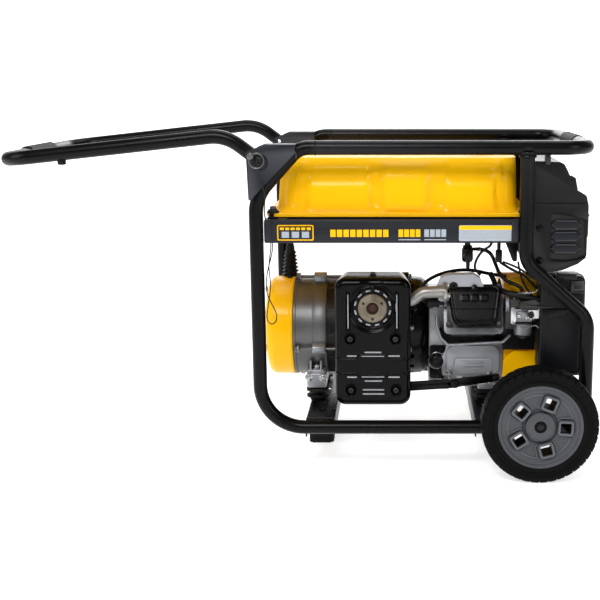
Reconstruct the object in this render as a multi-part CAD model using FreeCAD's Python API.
import FreeCAD, Part
import math
import os
from FreeCAD import Vector

# Portable generator on a tubular frame, millimetres, +Z up, +X towards the wheels and the
# control panel, -Y towards the muffler side.  X is laid out from a datum plane through the
# frame; place() moves every piece so that the origin is under the middle of the whole machine.

# ---- driving dimensions ------------------------------------------------------------------
TUBE_R = 12.7                 # one-inch tube
TUBE_WALL = 2.0
RAIL_Y = 222.5                # tube centre lines each side of the middle
BOTTOM_RAIL_Z = 83.0
TOP_RAIL_Z = 596.0
REAR_POST_X = -258.0
FRONT_LOW_X = 339.0           # lower front post
FRONT_HIGH_X = 224.0          # upper front post
COLLAR_R = 16.0               # weld collar under the top rail
TOP_JOINT_X = -150.0          # where side tube and top loop are welded end to end
FRONT_BAR_X = 335.5           # cross part of the top loop

WHEEL_R = 106.0
AXLE_Z = 102.0                # axle height above the datum plane; the ground is lower
GROUND = WHEEL_R - AXLE_Z
WHEEL_X = 251.0
WHEEL_IN_Y = 237.5
WHEEL_OUT_Y = 287.5
RIM_R = 76.0
AXLE_R = 6.0
RUNNING_FIT = 0.06

PIVOT_X, PIVOT_Z = -246.7, 571.4          # handle pivot
HANDLE_BEND_X, HANDLE_BEND_Z = -308.0, 618.0
HANDLE_END_X, HANDLE_END_Z = -709.0, 573.7
HANDLE_GRIP_R = 16.0
CHEEK_IN = 13.5               # bracket cheek faces, from the tube plane
CHEEK_OUT = 15.5
LOCK_REACH = 19.0             # lock hole, from the pivot along the arm
LOCK_R = 4.0
LOCK_TURN = 85.0              # handle fold, degrees

SHAFT_Z = 227.6               # crankshaft height
SHAFT_R = 12.5
ENGINE_BASE_Z = 121.6
CYL_X = 138.0                 # cylinder centre line
CYL_TILT = 25.0               # above horizontal, towards -Y
BORE_R = 34.05
PISTON_R = 34.0

TANK_FLOOR_Z = 475.0
TANK_LIP_Z = 472.0            # underside of the rolled flange
TANK_TOP_Z = 574.0
TANK_WALL = 1.5
CAP_X = 155.0
NECK_R = 20.0

PANEL_X = 341.0               # face that carries the controls
PULLEY_R = 60.0

LEFT_END_X = HANDLE_END_X - HANDLE_GRIP_R
RIGHT_END_X = WHEEL_X + WHEEL_R
ORIGIN_X = (LEFT_END_X + RIGHT_END_X) / 2

SIDE_BEND_RADII = [40, 80, 80, 60, 50, 50]
TOP_LOOP_RADII = [50, 50]
HANDLE_BEND_RADII = [45, 60, 60, 45]
FOOT_X0, FOOT_X1 = -180.0, -139.0
FOOT_Y0, FOOT_Y1 = -53.0, -15.0
PAD_TOP_Z = 14.0
WINDOW_ANGLES = [-3 + 72 * i for i in range(5)]
WINDOW_RADIUS = 45.5
WINDOW_SIZE = 20.0
ARM_WAY = (Vector(HANDLE_BEND_X, 0, HANDLE_BEND_Z) - Vector(PIVOT_X, 0, PIVOT_Z)).normalize()
LOCK_X = PIVOT_X + ARM_WAY.x * LOCK_REACH
LOCK_Z = PIVOT_Z + ARM_WAY.z * LOCK_REACH
RING_R = 13.0
RING_WIRE_R = 1.1
RING_Y = -RAIL_Y - CHEEK_OUT - 11
# Route of the lock pin's lanyard: down outside the bracket, a loop beside the rear post,
# and back up inside the frame to the near tank rail.
LANYARD = [(-247.6, -249.0, 555.5), (-247.4, -249.0, 547.0), (-243.5, -247.0, 533.0),
           (-237.5, -245.0, 516.0), (-239.8, -243.5, 497.0), (-240.6, -242.5, 478.0),
           (-234.5, -242.0, 460.0), (-228.5, -241.0, 442.0), (-227.0, -240.5, 421.0),
           (-231.5, -239.5, 400.0), (-237.5, -239.0, 380.0), (-240.8, -238.5, 358.0),
           (-240.2, -237.5, 337.0), (-233.0, -235.0, 320.0), (-226.5, -232.0, 306.0),
           (-223.5, -230.0, 294.0), (-226.0, -228.0, 283.5), (-234.0, -225.5, 277.5),
           (-241.5, -223.0, 283.0), (-243.5, -220.8, 293.5), (-241.5, -219.0, 305.0),
           (-239.5, -217.5, 320.0), (-236.0, -214.5, 339.0),
           (-236.5, -212.0, 360.0), (-239.0, -210.0, 382.0), (-236.5, -208.0, 402.0),
           (-234.5, -207.0, 415.0), (-234.5, -206.6, 425.9)]
LANYARD_D = 2.0
TANK_BOLT_X = (-230.0, 222.0)
TANK_BOLT_Y = 199.0
VALVE_X, VALVE_Y = 127.0, -100.0
FUEL_HOSE = [(143, -100, 397), (158, -100, 397), (173, -103, 388), (180, -110, 369),
             (188, -120, 350), (203, -129, 338), (220, -136, 334), (229, -141, 326),
             (230, -142, 315.2)]
HOUSING = [(235.4, 571.2), (283.6, 569.4), (292.7, 565.9), (316.0, 519.0), (333.8, 509.4),
           (338.0, 490.7), (338.0, 397.9), (321.6, 385.0), (292.9, 372.8), (269.3, 370.2),
           (235.4, 370.2)]
HOUSING_Y = 200.0
HOUSING_WALL = 3.0
DUPLEX_Y, DUPLEX_Z = -105.0, 445.0
TWIST_Y = -30.0
COVER_HINGE_X = PANEL_X + 6.0
COVER_HINGE_Z = DUPLEX_Z + 22.0
BREAKER_Y = (28.0, 58.0)
SWITCH_Y, SWITCH_Z = 110.0, 458.0
ALTERNATOR_R = 99.0
BOLT_ANGLES = (14, 104, 194, 284)
BOLT_CIRCLE_R = 106.0
GRIP_Y, GRIP_Z = 40.0, SHAFT_Z + 44.0
AIR_BOX = (258.0, 343.0, -172.0, -108.0, 166.0, 357.0)
CARB_Y, CARB_Z = -142.0, 300.0
CHOKE_X, CHOKE_Z = 267.0, 289.0
LATCH_Z = 328.0
PLUG_Y, PLUG_Z = -130.0, 300.0
DIP_X, DIP_Z = 70.0, 176.0
SHIELD = (-122.7, 18.5, -192.0, -111.0, 113.0, 356.0)
OUTLET_X, OUTLET_Z = -52.0, 301.0
OUTLET_R = 11.5
TANK_SHOULDER_Z = 541.0
TANK_SECTIONS = [(-228, 214, 187, 30), (-216, 213, 184, 36), (-194, 212, 152, 36)]
EXHAUST_PIPE = [(6, 307), (24, 307), (46, 322), (84, 325)]
EXHAUST_PIPE_Y = -148.0
EXHAUST_BEND_RADII = [14, 16]
EXHAUST_PIPE_R = 11.0
STAY = [(7, 131), (93, 137), (188, 152), (188, 166), (93, 154), (7, 149)]
STAY_Y0, STAY_Y1 = -153.0, -147.0

AXES = {"x": Vector(1, 0, 0), "y": Vector(0, 1, 0), "z": Vector(0, 0, 1)}


# ---- helpers -----------------------------------------------------------------------------
def place(name, *solids):
    """Write one node, moved from the datum to the origin."""
    shape = solids[0] if len(solids) == 1 else Part.makeCompound(list(solids))
    shape = shape.copy()
    shape.translate(Vector(-ORIGIN_X, 0, GROUND))
    shape.exportStep("parts/%s.step" % name)
    print("%-22s %8.1f cm3  valid %s" % (name, shape.Volume / 1000, shape.isValid()))


def box(x0, x1, y0, y1, z0, z1):
    return Part.makeBox(x1 - x0, y1 - y0, z1 - z0, Vector(x0, y0, z0))


def rod(axis, x, y, z, radius, length):
    """Cylinder that starts at (x, y, z) and runs along +axis."""
    return Part.makeCylinder(radius, length, Vector(x, y, z), AXES[axis])


def sleeve(axis, x, y, z, outer, inner, length):
    return rod(axis, x, y, z, outer, length).cut(rod(axis, x, y, z, inner, length))


def fuse(shapes):
    result = shapes[0].fuse(shapes[1:]) if len(shapes) > 1 else shapes[0]
    return result.removeSplitter()


def mirrored(shape):
    return shape.mirror(Vector(0, 0, 0), Vector(0, 1, 0))


def edges_along(shape, axis, keep=lambda centre: True):
    """Straight edges parallel to an axis, filtered by their centre."""
    found = []
    for edge in shape.Edges:
        if not isinstance(edge.Curve, (Part.Line, Part.LineSegment)):
            continue
        way = (edge.Vertexes[-1].Point - edge.Vertexes[0].Point).normalize()
        if abs(way.dot(AXES[axis])) > 0.999 and keep(edge.CenterOfMass):
            found.append(edge)
    return found


def rounded(shape, radius, axis, keep=lambda centre: True):
    return shape.makeFillet(radius, edges_along(shape, axis, keep))


def prism(outline, y0, y1):
    """Outline of (x, z) points, pushed along Y."""
    points = [Vector(x, y0, z) for x, z in outline]
    face = Part.Face(Part.makePolygon(points + points[:1]))
    return face.extrude(Vector(0, y1 - y0, 0))


def turned(outline, start, axis):
    """Solid of revolution: outline of (distance along the axis, radius) from start."""
    way = AXES[axis]
    side = Vector(0, 0, 1) if axis != "z" else Vector(1, 0, 0)
    points = [start + way * along + side * radius for along, radius in outline]
    face = Part.Face(Part.makePolygon(points + points[:1]))
    return face.revolve(start, way, 360)


def arc_path(points, radii):
    """Straight runs joined by tangent arcs; radii has one value per inner point."""
    edges = []
    last = points[0]
    for before, corner, after, radius in zip(points, points[1:], points[2:], radii):
        into = (corner - before).normalize()
        out = (after - corner).normalize()
        turn = into.getAngle(out)
        trim = radius * math.tan(turn / 2)
        start = corner - into * trim
        end = corner + out * trim
        inward = (out - into).normalize()
        middle = corner + inward * (radius / math.cos(turn / 2) - radius)
        if (start - last).Length > 1e-6:
            edges.append(Part.LineSegment(last, start).toShape())
        edges.append(Part.Arc(start, middle, end).toShape())
        last = end
    edges.append(Part.LineSegment(last, points[-1]).toShape())
    return Part.Wire(edges)


def swept(path, first, second, radius):
    """Round bar along a path whose first run goes from first towards second."""
    circle = Part.Wire(Part.makeCircle(radius, first, second - first))
    return path.makePipeShell([circle], True, False)


def tube(points, radii, outer, wall=0.0):
    path = arc_path(points, radii)
    bar = swept(path, points[0], points[1], outer)
    if wall:
        bar = bar.cut(swept(path, points[0], points[1], outer - wall))
    return bar


def soft_radii(points):
    """Bend radii of a cord: 0.45 of the shorter run over the tangent of half the turn."""
    radii = []
    for before, corner, after in zip(points, points[1:], points[2:]):
        turn = (corner - before).getAngle(after - corner)
        shorter = min((corner - before).Length, (after - corner).Length)
        radii.append(0.45 * shorter / math.tan(turn / 2))
    return radii


def cord(name, points, diameter):
    radii = soft_radii(points)
    path = arc_path(points, radii)
    solid = swept(path, points[0], points[1], diameter / 2)
    expected = math.pi * diameter ** 2 / 4 * path.Length
    print("%s: length %.0f mm, radii %s, volume ratio %.3f"
          % (name, path.Length, [round(r, 1) for r in radii], solid.Volume / expected))
    return solid


def at(outline, y):
    return [Vector(x, y, z) for x, z in outline]


# ---- frame -------------------------------------------------------------------------------
def side_tube_points(y):
    outline = [(TOP_JOINT_X, TOP_RAIL_Z), (-179.5, TOP_RAIL_Z), (REAR_POST_X, 509.0),
               (REAR_POST_X, BOTTOM_RAIL_Z), (FRONT_LOW_X, BOTTOM_RAIL_Z),
               (FRONT_LOW_X, 289.0), (FRONT_HIGH_X, 392.0),
               (FRONT_HIGH_X, TOP_RAIL_Z - TUBE_R)]
    return at(outline, y)


def top_rail_bar(y):
    return rod("x", -300, y, TOP_RAIL_Z, TUBE_R, 700)


def side_frame():
    """Near side: one bent tube, its collar under the top rail, and the axle saddle."""
    y = -RAIL_Y
    bent = tube(side_tube_points(y), SIDE_BEND_RADII, TUBE_R, TUBE_WALL)
    collar = sleeve("z", FRONT_HIGH_X, y, TOP_RAIL_Z - 17, COLLAR_R, TUBE_R, 10)
    collar = collar.cut(top_rail_bar(y))
    saddle = box(WHEEL_X - 14, WHEEL_X + 14, y - 9, y + 9, BOTTOM_RAIL_Z, AXLE_Z + 12)
    saddle = rounded(saddle, 10, "y", lambda c: c.z > AXLE_Z)
    saddle = saddle.cut(rod("x", WHEEL_X - 20, y, BOTTOM_RAIL_Z, TUBE_R, 40))
    saddle = saddle.cut(rod("y", WHEEL_X, y - 20, AXLE_Z, AXLE_R, 40))
    return fuse([bent, collar, saddle])


def top_loop():
    points = [Vector(TOP_JOINT_X, -RAIL_Y, TOP_RAIL_Z), Vector(FRONT_BAR_X, -RAIL_Y, TOP_RAIL_Z),
              Vector(FRONT_BAR_X, RAIL_Y, TOP_RAIL_Z), Vector(TOP_JOINT_X, RAIL_Y, TOP_RAIL_Z)]
    return tube(points, TOP_LOOP_RADII, TUBE_R, TUBE_WALL)


def front_grip():
    return sleeve("y", FRONT_BAR_X, -72, TOP_RAIL_Z, 14.5, TUBE_R, 144)


def cross_member(x0, x1):
    """Sheet channel, open side down, notched around both bottom rails."""
    top = box(x0, x1, -217, 217, 91, 94)
    flanges = [box(x, x + 3, -217, 217, 62, 91) for x in (x0, x1 - 3)]
    channel = fuse([top] + flanges)
    for y in (-RAIL_Y, RAIL_Y):
        channel = channel.cut(rod("x", x0 - 5, y, BOTTOM_RAIL_Z, TUBE_R, x1 - x0 + 10))
    return channel


def support_foot():
    """Pressed leg under the rear cross member's flanges, wide at the top."""
    outline = [(FOOT_X0, 62), (FOOT_X0, 54), (FOOT_X0 + 6, 42), (FOOT_X0 + 6, PAD_TOP_Z),
               (FOOT_X1 - 6, PAD_TOP_Z), (FOOT_X1 - 6, 42), (FOOT_X1, 54), (FOOT_X1, 62)]
    inner = [(x + (2.5 if x < -160 else -2.5), z + (2.5 if z == PAD_TOP_Z else 0))
             for x, z in outline]
    return prism(outline, FOOT_Y0, FOOT_Y1).cut(prism(inner, FOOT_Y0 + 2.5, FOOT_Y1 - 2.5))


def foot_pad():
    pad = box(FOOT_X0 - 4, FOOT_X1 + 4, FOOT_Y0 - 4, FOOT_Y1 + 4, -GROUND, PAD_TOP_Z)
    return rounded(pad, 8, "z")


def isolator(x, y):
    """Rubber mount with a steel washer at each face."""
    return turned([(0, 0), (0, 22), (2, 22), (2, 17), (12, 19.5), (24.5, 17), (24.5, 22),
                   (27, 22), (27, 0)], Vector(x, y, 94), "z")


# ---- wheels ------------------------------------------------------------------------------
def axle():
    return rod("y", WHEEL_X, -284, AXLE_Z, AXLE_R, 568)


def tyre():
    """Near tyre: rounded tread on a flat seat."""
    width = WHEEL_OUT_Y - WHEEL_IN_Y
    outline = [(2, RIM_R), (0, RIM_R + 4), (0, 96), (5, 103), (14, WHEEL_R),
               (width - 14, WHEEL_R), (width - 5, 103), (width, 96), (width, RIM_R + 4),
               (width - 2, RIM_R)]
    return turned(outline, Vector(WHEEL_X, -WHEEL_OUT_Y, AXLE_Z), "y")


def rim():
    """Near rim: hub, web with five square windows, tyre seat."""
    hub_face = 4.0
    outline = [(14, AXLE_R + RUNNING_FIT), (14, 11), (hub_face, 11), (hub_face, 27), (12, 27),
               (12, 60), (2.5, 68), (2.5, RIM_R), (47.5, RIM_R), (47.5, 69), (26, 66),
               (26, 24), (51, 20), (51, AXLE_R + RUNNING_FIT)]
    body = turned(outline, Vector(WHEEL_X, -WHEEL_OUT_Y, AXLE_Z), "y")
    half = WINDOW_SIZE / 2
    for angle in WINDOW_ANGLES:
        window = box(WINDOW_RADIUS - half, WINDOW_RADIUS + half, -300, -230, -half, half)
        window.rotate(Vector(0, 0, 0), Vector(0, 1, 0), -angle)
        window.translate(Vector(WHEEL_X, 0, AXLE_Z))
        body = body.cut(window)
    return body


def hexagon(axis, x, y, z, radius, length):
    corners = []
    for i in range(6):
        a = math.radians(60 * i)
        u, w = radius * math.cos(a), radius * math.sin(a)
        corner = {"x": Vector(0, u, w), "y": Vector(u, 0, w), "z": Vector(u, w, 0)}[axis]
        corners.append(Vector(x, y, z) + corner)
    return Part.Face(Part.makePolygon(corners + corners[:1])).extrude(AXES[axis] * length)


def axle_nut():
    nut = hexagon("y", WHEEL_X, -WHEEL_OUT_Y + 4.5, AXLE_Z, 9.5, 9)
    return nut.cut(rod("y", WHEEL_X, -300, AXLE_Z, AXLE_R, 50))


# ---- folding handle ----------------------------------------------------------------------
def lock_slot(y):
    """Quadrant slot about the pivot, so that the arm can turn past the lock pin."""
    ring = sleeve("y", PIVOT_X, y - 20, PIVOT_Z, LOCK_REACH + 4.6, LOCK_REACH - 4.6, 40)
    start = math.atan2(ARM_WAY.z, ARM_WAY.x)
    corners = [Vector(PIVOT_X, y - 20, PIVOT_Z)]
    for step in range(5):
        a = start + math.radians(16 - step * (LOCK_TURN + 32) / 4)
        corners.append(corners[0] + Vector(math.cos(a), 0, math.sin(a)) * 60)
    wedge = Part.Face(Part.makePolygon(corners + corners[:1])).extrude(Vector(0, 40, 0))
    return ring.common(wedge)


def handle_tube():
    tail = Vector(PIVOT_X, 0, PIVOT_Z) - ARM_WAY * 13
    side = [(tail.x, tail.z), (HANDLE_BEND_X, HANDLE_BEND_Z), (HANDLE_END_X, HANDLE_END_Z)]
    points = at(side, -RAIL_Y) + at(side[::-1], RAIL_Y)
    bent = tube(points, HANDLE_BEND_RADII, TUBE_R, TUBE_WALL)
    for y in (-RAIL_Y, RAIL_Y):
        bent = bent.cut(lock_slot(y))
        bent = bent.cut(rod("y", PIVOT_X, y - 20, PIVOT_Z, 5 + RUNNING_FIT, 40))
    return bent


def handle_grip():
    return sleeve("y", HANDLE_END_X, -71, HANDLE_END_Z, HANDLE_GRIP_R, TUBE_R, 142)


def handle_bumper(y):
    """Rubber stop under an arm; it meets the rear post when the handle is folded."""
    slope = (HANDLE_BEND_Z - HANDLE_END_Z) / (HANDLE_BEND_X - HANDLE_END_X)
    x = -598.0
    z = HANDLE_END_Z + slope * (x - HANDLE_END_X)
    stop = rod("z", x, y, z - TUBE_R - 7, 7.5, 12)
    return stop.cut(rod("x", x - 20, y, z, TUBE_R, 40).rotated(
        Vector(x, y, z), Vector(0, 1, 0), -math.degrees(math.atan(slope))))


def hinge_bracket():
    """Near bracket: two cheeks and a top web around the frame tube's upper bend."""
    cheek = [(-271.4, 589.6), (-268.6, 506.0), (-265.2, 503.9), (-244.3, 526.3),
             (-185.7, 586.4), (-184.3, 602.3), (-239.5, 602.3), (-253.0, 596.6)]
    outer = prism(cheek, -RAIL_Y - CHEEK_OUT, -RAIL_Y - CHEEK_IN)
    inner = prism(cheek, -RAIL_Y + CHEEK_IN, -RAIL_Y + CHEEK_OUT)
    web = box(-239.5, -184.3, -RAIL_Y - CHEEK_IN, -RAIL_Y + CHEEK_IN, 600.3, 602.3)
    bracket = fuse([outer, inner, web])
    bracket = bracket.cut(swept(arc_path(side_tube_points(-RAIL_Y), SIDE_BEND_RADII),
                                *side_tube_points(-RAIL_Y)[:2], TUBE_R))
    for x, z, r in ((PIVOT_X, PIVOT_Z, 5.0), (LOCK_X, LOCK_Z, LOCK_R + RUNNING_FIT)):
        bracket = bracket.cut(rod("y", x, -RAIL_Y - 30, z, r, 60))
    return bracket


def pivot_bolt():
    """Button head, shank through both cheeks, nut inside."""
    head = turned([(0, 0), (0, 8), (3, 13), (6, 14), (6, 0)],
                  Vector(PIVOT_X, -RAIL_Y - CHEEK_OUT - 6, PIVOT_Z), "y")
    shank = rod("y", PIVOT_X, -RAIL_Y - CHEEK_OUT, PIVOT_Z, 5.0, 2 * CHEEK_OUT + 8)
    nut = hexagon("y", PIVOT_X, -RAIL_Y + CHEEK_OUT, PIVOT_Z, 9, 7)
    return fuse([head, shank, nut])


def lock_pin():
    """Ball-headed pin through the near bracket, and its split ring."""
    start = Vector(LOCK_X, -RAIL_Y - CHEEK_OUT - 16, LOCK_Z)
    length = 16 + 2 * CHEEK_OUT + 4
    pin = turned([(0, 0), (0.5, 3.5), (3, 6), (7, 6), (9, 3.5), (9, LOCK_R), (length - 2, LOCK_R),
                  (length, 2.5), (length, 0)], start, "y")
    centre = Vector(LOCK_X + RING_R * 0.79, RING_Y, LOCK_Z - RING_R * 0.61)
    ring = Part.makeTorus(RING_R, RING_WIRE_R, centre, AXES["y"])
    hole = Part.makeTorus(RING_R, RING_WIRE_R + 0.3, centre, AXES["y"])
    return pin.cut(hole), ring


# ---- fuel tank ---------------------------------------------------------------------------
def tank_rail():
    """Near tank rail: a C channel, its upper flange carried on inside the upright."""
    web = box(-244, 211, -220, -218, 426, 468)
    flanges = [box(-244, 211, -218, -190, z, z + 2) for z in (426, 466)]
    tab = box(211, 234, -208, -190, 466, 468)
    rail = fuse([web, tab] + flanges)
    for x in TANK_BOLT_X:
        rail = rail.cut(rod("z", x, -TANK_BOLT_Y, 460, 4, 20))
    return rail


def rounded_rectangle(x0, x1, half_y, z, radius):
    face = box(x0, x1, -half_y, half_y, z, z + 1)
    face = rounded(face, radius, "z")
    bottom = [f for f in face.Faces if abs(f.CenterOfMass.z - z) < 1e-6][0]
    return bottom.OuterWire


def tank_body(inset):
    """Three rounded sections: floor, shoulder and top."""
    heights = (TANK_FLOOR_Z + inset, TANK_SHOULDER_Z, TANK_TOP_Z - inset)
    sections = [rounded_rectangle(x0 + inset, x1 - inset, half_y - inset, z, corner)
                for (x0, x1, half_y, corner), z in zip(TANK_SECTIONS, heights)]
    return Part.makeLoft(sections, True, True)


def tank_shell():
    flange = rounded(box(-243, 234, -207, 207, TANK_LIP_Z, TANK_FLOOR_Z + 3), 20, "z")
    flange = flange.cut(box(-215, 200, -174, 174, TANK_LIP_Z - 1, TANK_FLOOR_Z))
    neck = rod("z", CAP_X, 0, TANK_TOP_Z - 6, NECK_R + 2, 10)
    shell = fuse([tank_body(0), flange, neck])
    shell = shell.cut(tank_body(TANK_WALL))
    shell = shell.cut(rod("z", CAP_X, 0, TANK_TOP_Z - 20, NECK_R, 40))
    for x in TANK_BOLT_X:
        for y in (-TANK_BOLT_Y, TANK_BOLT_Y):
            shell = shell.cut(rod("z", x, y, 460, 4, 30))
    return shell.cut(rod("z", VALVE_X, VALVE_Y, 470, 6, 10))


def fuel_cap():
    """Cap over the neck, clear of it all round."""
    top = TANK_TOP_Z + 20
    return turned([(top - 3, 0), (top, 5), (top, 22), (top - 4, 29), (TANK_TOP_Z + 1, 30),
                   (TANK_TOP_Z + 1, NECK_R + 3), (TANK_TOP_Z + 8, NECK_R + 3),
                   (TANK_TOP_Z + 8, 0)], Vector(CAP_X, 0, 0), "z")


def tank_bolt(x, y):
    """Flange bolt in a rubber grommet: head above the tank flange, shank through the rail."""
    return turned([(452, 0), (452, 4), (468, 4), (468, 9), (472, 9), (472, 4), (478, 4),
                   (478, 10), (485, 9), (485, 6), (490, 6), (490, 0)], Vector(x, y, 0), "z")


def fuel_valve():
    stub = rod("z", VALVE_X, VALVE_Y, 404, 6, TANK_FLOOR_Z + TANK_WALL - 404)
    body = turned([(372, 0), (372, 8), (376, 11), (398, 11), (404, 9), (404, 0)],
                  Vector(VALVE_X, VALVE_Y, 0), "z")
    spout = rod("x", VALVE_X, VALVE_Y, 397, 3, 16)
    seat = rod("y", VALVE_X, VALVE_Y - 14, 386, 6, 14)
    return fuse([stub, body, spout, seat])


def fuel_valve_lever():
    hub = rod("y", VALVE_X, VALVE_Y - 20, 386, 8, 5.7)
    arm = box(VALVE_X - 4, VALVE_X + 4, VALVE_Y - 19, VALVE_Y - 15, 362, 386)
    return fuse([hub, arm])


# ---- control panel -----------------------------------------------------------------------
def control_housing():
    """Moulded box, open towards the engine."""
    middle = (280.0, 470.0)
    inner = []
    for x, z in HOUSING:
        shift = HOUSING_WALL * 1.2
        inner.append((x - shift if x > middle[0] else x - 10,
                      z - shift if z > middle[1] else z + shift))
    outer = prism(HOUSING, -HOUSING_Y, HOUSING_Y)
    return outer.cut(prism(inner, -HOUSING_Y + HOUSING_WALL, HOUSING_Y - HOUSING_WALL))


def control_face():
    """Face plate with its earth stud."""
    plate = rounded(box(338, PANEL_X, -170, 170, 402, 488), 8, "x")
    stud = rod("x", PANEL_X, 120, 418, 3, 10)
    nut = hexagon("x", PANEL_X, 120, 418, 6, 4)
    return fuse([plate, stud, nut])


def outlets():
    """Duplex receptacle and a round twist-lock receptacle."""
    duplex = rounded(box(PANEL_X, PANEL_X + 3, DUPLEX_Y - 36, DUPLEX_Y + 36,
                         DUPLEX_Z - 17, DUPLEX_Z + 17), 8, "x")
    for y in (DUPLEX_Y - 19, DUPLEX_Y + 19):
        for shift, width in ((-6, 2), (6, 2)):
            duplex = duplex.cut(box(PANEL_X + 1, PANEL_X + 5, y + shift - 1, y + shift + 1,
                                    DUPLEX_Z - 1, DUPLEX_Z + 7))
        duplex = duplex.cut(rod("x", PANEL_X + 1, y, DUPLEX_Z - 8, 2.4, 5))
    twist = turned([(0, 0), (0, 25), (3, 25), (5, 21), (5, 0)],
                   Vector(PANEL_X, TWIST_Y, DUPLEX_Z), "x")
    for i in range(3):
        slot = box(PANEL_X + 2, PANEL_X + 8, -5, 5, 11, 13)
        slot.rotate(Vector(0, 0, 0), AXES["x"], 120 * i)
        slot.translate(Vector(0, TWIST_Y, DUPLEX_Z))
        twist = twist.cut(slot)
    return duplex, twist


def outlet_cover():
    """Flip cover of the duplex outlet, hinged along its top edge."""
    lid = rounded(box(PANEL_X + 4, PANEL_X + 7, DUPLEX_Y - 39, DUPLEX_Y + 39,
                      DUPLEX_Z - 20, COVER_HINGE_Z), 6, "x", lambda c: c.z < DUPLEX_Z)
    barrel = rod("y", COVER_HINGE_X, DUPLEX_Y - 39, COVER_HINGE_Z, 2.5, 78)
    return fuse([lid, barrel])


def breaker_button(y):
    """Push-to-reset button; it slides into a pocket in the face plate."""
    return turned([(0, 0), (0, 6), (8, 6), (9, 5), (9, 0)], Vector(PANEL_X - 1, y, DUPLEX_Z), "x")


def panel_pockets(plate):
    """Pockets behind the buttons and the rocker."""
    for y in BREAKER_Y:
        plate = plate.cut(rod("x", 330, y, DUPLEX_Z, 6.4, 20))
    return plate.cut(box(330, 360, SWITCH_Y - 11, SWITCH_Y + 11, SWITCH_Z - 17, SWITCH_Z + 17))


def engine_switch():
    """Rocker with a shallow vee face, pivoted behind the plate."""
    outline = [(PANEL_X - 2, SWITCH_Z - 11), (PANEL_X + 5, SWITCH_Z - 14),
               (PANEL_X + 3, SWITCH_Z), (PANEL_X + 7, SWITCH_Z + 14),
               (PANEL_X - 2, SWITCH_Z + 11)]
    return prism(outline, SWITCH_Y - 10.5, SWITCH_Y + 10.5)


# ---- alternator --------------------------------------------------------------------------
def on_shaft(outline):
    """Solid of revolution about the crankshaft: (x, radius) points."""
    return turned(outline, Vector(0, 0, SHAFT_Z), "x")


def end_cover():
    return on_shaft([(-210, ALTERNATOR_R), (-250, ALTERNATOR_R), (-262, 90), (-266, 72),
                     (-266, 0), (-263.5, 0), (-263.5, 71), (-260, 88), (-249, 96.5),
                     (-210, 96.5)])


def end_bell():
    """Cast bracket with bearing seat, through-bolt lugs and feet."""
    cup = on_shaft([(-145, ALTERNATOR_R), (-209.7, ALTERNATOR_R), (-209.7, 90), (-190, 88),
                    (-190, 26), (-178, 26), (-178, 84), (-172, 92), (-145, 92)])
    web = on_shaft([(-190, 90), (-190, SHAFT_R + 5), (-184, SHAFT_R + 5), (-184, 90)])
    foot = box(-182, -146, -95, 95, ENGINE_BASE_Z - 0.6, 150)
    foot = foot.cut(rod("x", -260, 0, SHAFT_Z, 95, 200))
    lugs = [on_circle(rod("x", -171, 0, 0, 9, 25), angle) for angle in BOLT_ANGLES]
    lugs += [on_circle(rod("x", -200, 0, 0, 7.5, 2.5), angle) for angle in BOLT_ANGLES]
    bell = fuse([cup, web, foot] + lugs)
    for angle in BOLT_ANGLES:
        bell = bell.cut(on_circle(rod("x", -220, 0, 0, 3, 80), angle))
    return bell


def on_circle(shape, angle):
    a = math.radians(angle)
    shape.translate(Vector(0, BOLT_CIRCLE_R * math.cos(a), SHAFT_Z + BOLT_CIRCLE_R * math.sin(a)))
    return shape


def through_bolt(angle):
    shank = rod("x", -206, 0, 0, 3, 222)
    head = hexagon("x", -206, 0, 0, 6.5, 6)
    return on_circle(fuse([shank, head]), angle)


def stator():
    return on_shaft([(-144.8, 96), (-22, 96), (-22, 62), (-144.8, 62)])


def adaptor():
    """Black bell housing between the stator and the crankcase."""
    bell = on_shaft([(-21.8, 99), (40, 99), (54.8, 86), (54.8, 26), (46, 26), (46, 80),
                     (36, 92), (-21.8, 92)])
    lugs = [on_circle(rod("x", 2, 0, 0, 9, 14), angle) for angle in BOLT_ANGLES]
    bell = fuse([bell] + lugs)
    for angle in BOLT_ANGLES:
        bell = bell.cut(on_circle(rod("x", -30, 0, 0, 3, 60), angle))
    return bell


def rotor():
    core = on_shaft([(-138, SHAFT_R), (-138, 40), (-130, 61.4), (-36, 61.4), (-28, 40),
                     (-28, SHAFT_R)])
    fan = on_shaft([(-16, SHAFT_R), (-16, 85), (-12, 85), (-6, 30), (20, 20), (20, SHAFT_R)])
    return core, fan


def bearing():
    """Rear ball bearing on the shaft, running in the end bell's seat."""
    return on_shaft([(-189, SHAFT_R), (-189, SHAFT_R + 5 - RUNNING_FIT),
                     (-185, SHAFT_R + 5 - RUNNING_FIT), (-185, SHAFT_R)])


def harness():
    """Corrugated boot and conduit from the alternator towards the control panel."""
    boot = [(0, 0), (0, 15)]
    for i in range(6):
        boot += [(6 + 8 * i, 17 - i), (10 + 8 * i, 12 - 0.8 * i)]
    boot += [(56, 10), (100, 7), (100, 0)]
    solid = turned(boot, Vector(-221, 8, SHAFT_Z + ALTERNATOR_R - 5), "z")
    return solid.cut(rod("x", -300, 0, SHAFT_Z, ALTERNATOR_R, 200))


# ---- engine ------------------------------------------------------------------------------
def along_cylinder(shape):
    """Turn a shape built on +Z at the crankshaft into the tilted cylinder's place."""
    shape.rotate(Vector(0, 0, 0), AXES["x"], 90 - CYL_TILT)
    shape.translate(Vector(CYL_X, 0, SHAFT_Z))
    return shape


def crankshaft():
    shaft = rod("x", -198, 0, SHAFT_Z, SHAFT_R, 492)
    webs = [on_shaft([(x, 0), (x, 37), (x + 12, 37), (x + 12, 0)]) for x in (116, 148)]
    return fuse([shaft] + webs)


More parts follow.
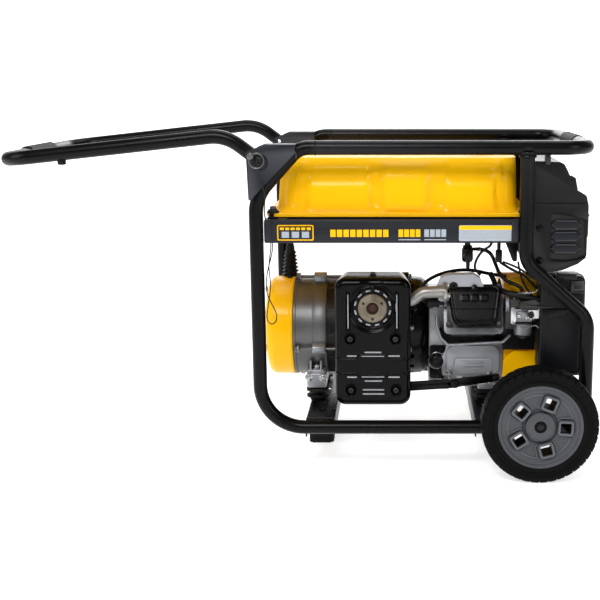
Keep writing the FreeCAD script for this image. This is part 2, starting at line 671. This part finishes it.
def crankcase():
    """Case with crank chamber, main bearings' bores and the tilted barrel."""
    case = box(55, 198, -88, 88, ENGINE_BASE_Z, 300)
    case = rounded(case, 26, "x", lambda c: c.z > 200)
    barrel = along_cylinder(box(-48, 48, -46, 46, 60, 131.7))
    case = fuse([case, barrel])
    case = case.cut(rod("x", 80, 0, SHAFT_Z, 48, 100))
    case = case.cut(rod("x", 40, 0, SHAFT_Z, SHAFT_R + RUNNING_FIT, 180))
    case = case.cut(along_cylinder(rod("z", 0, 0, 0, BORE_R, 140)))
    feet = [box(x, x + 34, y - 16, y + 16, ENGINE_BASE_Z - 0.6, ENGINE_BASE_Z + 12)
            for x in (60, 150) for y in (-88, 88)]
    oil_boss = rod("y", DIP_X, -90.7, DIP_Z, 14, 4)
    return fuse([case, oil_boss] + feet)


def cylinder_head():
    """Head with cooling fins."""
    core = box(-44, 44, -40, 40, 132, 158)
    fins = [box(-56, 56, -48, 48, z, z + 2.5) for z in (134, 140, 146, 152)]
    head = along_cylinder(fuse([core] + fins))
    return head.cut(rod("x", 40, PLUG_Y, PLUG_Z, 12, CYL_X - 44 - 40))


def valve_cover():
    cover = box(-47, 47, -39, 39, 158.2, 181)
    cover = rounded(cover, 9, "z")
    ears = [rod("z", x, y, 158.2, 6, 8) for x in (-47, 47) for y in (-36, 36)]
    return along_cylinder(fuse([cover] + ears))


def piston():
    return along_cylinder(rod("z", 0, 0, 66, PISTON_R, 40))


def flywheel():
    """Flywheel with cast fan blades."""
    disc = on_shaft([(212, SHAFT_R), (212, 90), (224, 90), (224, 40), (240, 30), (240, SHAFT_R)])
    blades = []
    for i in range(12):
        blade = box(223.5, 246, -1.5, 1.5, 58, 89)
        blade.rotate(Vector(0, 0, 0), AXES["x"], 30 * i)
        blade.translate(Vector(0, 0, SHAFT_Z))
        blades.append(blade)
    return fuse([disc] + blades)


def fan_shroud():
    """Pressed cover round the flywheel, with a mouth under the recoil starter."""
    drum = on_shaft([(200, 104), (264, 104), (272, 96), (272, 70), (274.5, 70), (274.5, 97),
                     (265, 106.5), (200, 106.5)])
    duct = box(200, 204, -100, 100, SHAFT_Z - 60, SHAFT_Z + 100)
    duct = duct.cut(rod("x", 190, 0, SHAFT_Z, 94, 30))
    return fuse([drum, duct])


def recoil_housing():
    """Domed starter cover, hollow for the pulley, with a rope eye."""
    dome = on_shaft([(274.8, 88), (300, 88), (322, 74), (326, 60), (326, 0), (323.5, 0),
                     (323.5, 59), (320, 72), (299, 85.5), (274.8, 85.5)])
    return dome.cut(rod("x", 300, GRIP_Y, GRIP_Z, 4, 40))


def rope_pulley():
    return on_shaft([(300, 4), (300, PULLEY_R - 10), (303, PULLEY_R - 14), (307, PULLEY_R - 14),
                     (310, PULLEY_R - 10), (310, 4)])


def recoil_grip():
    """T grip resting on the starter cover, with a rope stub through the eye."""
    bar = rounded(box(327.5, 345, GRIP_Y - 34, GRIP_Y + 34, GRIP_Z - 9, GRIP_Z + 9), 6, "y")
    stub = rod("x", 316, GRIP_Y, GRIP_Z, 2.2, 12)
    return fuse([bar, stub])


def air_cleaner_box():
    x0, x1, y0, y1, z0, z1 = AIR_BOX
    case = rounded(box(x0, x1, y0, y1, z0, z1), 10, "y")
    inner = rounded(box(x0 + 3, x1 - 3, y0 + 3, y1 - 3, z0 + 3, z1 - 3), 8, "y")
    return case.cut(inner).cut(rod("x", x0 - 5, CARB_Y, CARB_Z, 11, 15))


def air_filter():
    x0, x1, y0, y1, z0, z1 = AIR_BOX
    return box(x0 + 14, x1 - 8, y0 + 8, y1 - 8, z0 + 100, z1 - 12)


def carburettor():
    """Horizontal throat, flange, float bowl and drain screw."""
    throat = rod("x", 196, CARB_Y, CARB_Z, 15, AIR_BOX[0] - 196)
    flange = rounded(box(196, 202, CARB_Y - 28, CARB_Y + 28, CARB_Z - 16, CARB_Z + 16), 8, "x")
    block = box(212, 248, CARB_Y - 18, CARB_Y + 18, 263, CARB_Z)
    bowl = rod("z", 231, CARB_Y, 240, 18, 24)
    drain = rod("z", 231, CARB_Y, 233, 4, 8)
    return fuse([throat, flange, block, bowl, drain]).cut(rod("x", 190, CARB_Y, CARB_Z, 10, 80))


def choke_lever():
    y0, y1 = AIR_BOX[2] - 6, AIR_BOX[2] - 3
    plate = [(CHOKE_X - 6, CHOKE_Z - 7), (CHOKE_X + 8, CHOKE_Z - 8), (CHOKE_X + 52, CHOKE_Z - 1),
             (CHOKE_X + 54, CHOKE_Z + 5), (CHOKE_X + 8, CHOKE_Z + 6), (CHOKE_X - 6, CHOKE_Z + 7)]
    pin = rod("y", CHOKE_X, y1 - 1, CHOKE_Z, 3, 3.6)
    return fuse([prism(plate, y0, y1), pin])


def air_cleaner_latch():
    """Over-centre clip hinged along its lower edge."""
    y0 = AIR_BOX[2]
    clip = box(314, 340, y0 - 5, y0 - 2.5, LATCH_Z, 349)
    barrel = rod("x", 314, y0 - 3.5, LATCH_Z, 2.5, 26)
    return fuse([clip, barrel])


def spark_plug():
    plug = rod("z", 0, 0, 0, 8, 26)
    boot = rod("z", 0, 0, 26, 11, 22)
    shape = fuse([plug, boot])
    shape.rotate(Vector(0, 0, 0), AXES["y"], -90)
    shape.translate(Vector(CYL_X - 44, PLUG_Y, PLUG_Z))
    return shape


def dipstick():
    """Threaded oil cap; its blade reaches into a pocket of the case."""
    return turned([(0, 0), (0, 10), (3, 13), (14, 13), (14, 0)], Vector(DIP_X, -105, DIP_Z), "y")


def drain_plugs():
    return [hexagon("y", x, -97, z, 8, 9) for x, z in ((118, 142), (172, 142))]


# ---- exhaust -----------------------------------------------------------------------------
def heat_shield():
    """Box cover, open at the back, with holes for the outlet, pipe and stay."""
    x0, x1, y0, y1, z0, z1 = SHIELD
    cover = box(x0, x1, y0, y1, z0, z1)
    cover = rounded(cover, 24, "y")
    inner = rounded(box(x0 + 1.5, x1 - 1.5, y0 + 1.5, y1 + 1, z0 + 1.5, z1 - 1.5), 22.5, "y")
    cover = cover.cut(inner)
    cover = cover.cut(rod("y", OUTLET_X, y0 - 5, OUTLET_Z, 29, 15))
    cover = cover.cut(box(x1 - 5, x1 + 5, -166, y1 + 5, 292, 330))
    return cover.cut(box(x1 - 5, x1 + 5, -160, y1 + 5, 128, 155))


def muffler_body():
    """Silencer can, inlet pipe to the head and lower stay."""
    can = rounded(box(-112, 8, -184, -118, 124, 346), 20, "y")
    can = can.cut(rounded(box(-110, 6, -182, -120, 126, 344), 18, "y"))
    can = can.cut(rod("y", OUTLET_X, -190, OUTLET_Z, OUTLET_R, 10))
    pipe = tube(at(EXHAUST_PIPE, EXHAUST_PIPE_Y), EXHAUST_BEND_RADII, EXHAUST_PIPE_R, 2)
    stay = prism(STAY, STAY_Y0, STAY_Y1)
    bolt = rod("y", 93, -157, 145, 5, 69)
    return fuse([can, pipe, stay, bolt])


def spark_arrestor():
    return turned([(0, OUTLET_R), (0, 24), (3, 27), (6, 27), (6, 20), (12, 18), (12, OUTLET_R)],
                  Vector(OUTLET_X, -196, OUTLET_Z), "y")


# ---- build -------------------------------------------------------------------------------
def main():
    os.makedirs("parts", exist_ok=True)

    near_side = side_frame()
    place("side_frame_near", near_side)
    place("side_frame_far", mirrored(near_side))
    place("top_loop", top_loop())
    place("front_grip", front_grip())
    place("cross_members", cross_member(-177, -123), cross_member(138, 196))
    place("support_feet", support_foot(), mirrored(support_foot()))
    pads = [foot_pad(), mirrored(foot_pad())]
    mounts = [isolator(x, y) for x in (-164, 167) for y in (-75, 75)]
    place("rubber_mounts", *(pads + mounts))

    place("axle", axle(), axle_nut(), mirrored(axle_nut()))
    place("tyre_near", tyre())
    place("tyre_far", mirrored(tyre()))
    place("rim_near", rim())
    place("rim_far", mirrored(rim()))

    place("hinge_brackets", hinge_bracket(), mirrored(hinge_bracket()))
    place("pivot_bolts", pivot_bolt(), mirrored(pivot_bolt()))
    place("handle_tube", handle_tube())
    place("handle_grip", handle_grip())
    place("handle_bumpers", handle_bumper(-RAIL_Y), handle_bumper(RAIL_Y))
    place("lock_pin", *lock_pin())
    place("lanyard", cord("lanyard", [Vector(*p) for p in LANYARD], LANYARD_D))

    place("tank_rails", tank_rail(), mirrored(tank_rail()))
    place("tank_shell", tank_shell())
    place("fuel_cap", fuel_cap())
    place("tank_bolts", *[tank_bolt(x, y) for x in TANK_BOLT_X
                          for y in (-TANK_BOLT_Y, TANK_BOLT_Y)])
    place("fuel_valve", fuel_valve())
    place("fuel_valve_lever", fuel_valve_lever())
    place("fuel_hose", cord("fuel hose", [Vector(*p) for p in FUEL_HOSE], 7.0))

    place("control_housing", panel_pockets(control_housing()))
    place("control_face", panel_pockets(control_face()))
    place("outlets", *outlets())
    place("outlet_cover", outlet_cover())
    for i, y in enumerate(BREAKER_Y, 1):
        place("breaker_button_%d" % i, breaker_button(y))
    place("engine_switch", engine_switch())

    place("alternator_end_cover", end_cover())
    place("alternator_end_bell", end_bell())
    place("stator", stator())
    place("adaptor_housing", adaptor())
    place("through_bolts", *[through_bolt(angle) for angle in BOLT_ANGLES])
    place("rotor", *rotor(), bearing())
    place("harness_boot", harness())

    place("crankcase", crankcase(), *drain_plugs())
    place("cylinder_head", cylinder_head())
    place("valve_cover", valve_cover())
    place("crankshaft", crankshaft())
    place("flywheel", flywheel())
    place("piston", piston())
    place("fan_shroud", fan_shroud())
    place("recoil_housing", recoil_housing())
    place("rope_pulley", rope_pulley())
    place("recoil_grip", recoil_grip())
    place("air_cleaner_box", air_cleaner_box())
    place("air_filter", air_filter())
    place("air_cleaner_latch", air_cleaner_latch())
    place("carburettor", carburettor())
    place("choke_lever", choke_lever())
    place("spark_plug", spark_plug())
    place("dipstick", dipstick())

    place("heat_shield", heat_shield())
    place("muffler_body", muffler_body())
    place("spark_arrestor", spark_arrestor())


main()
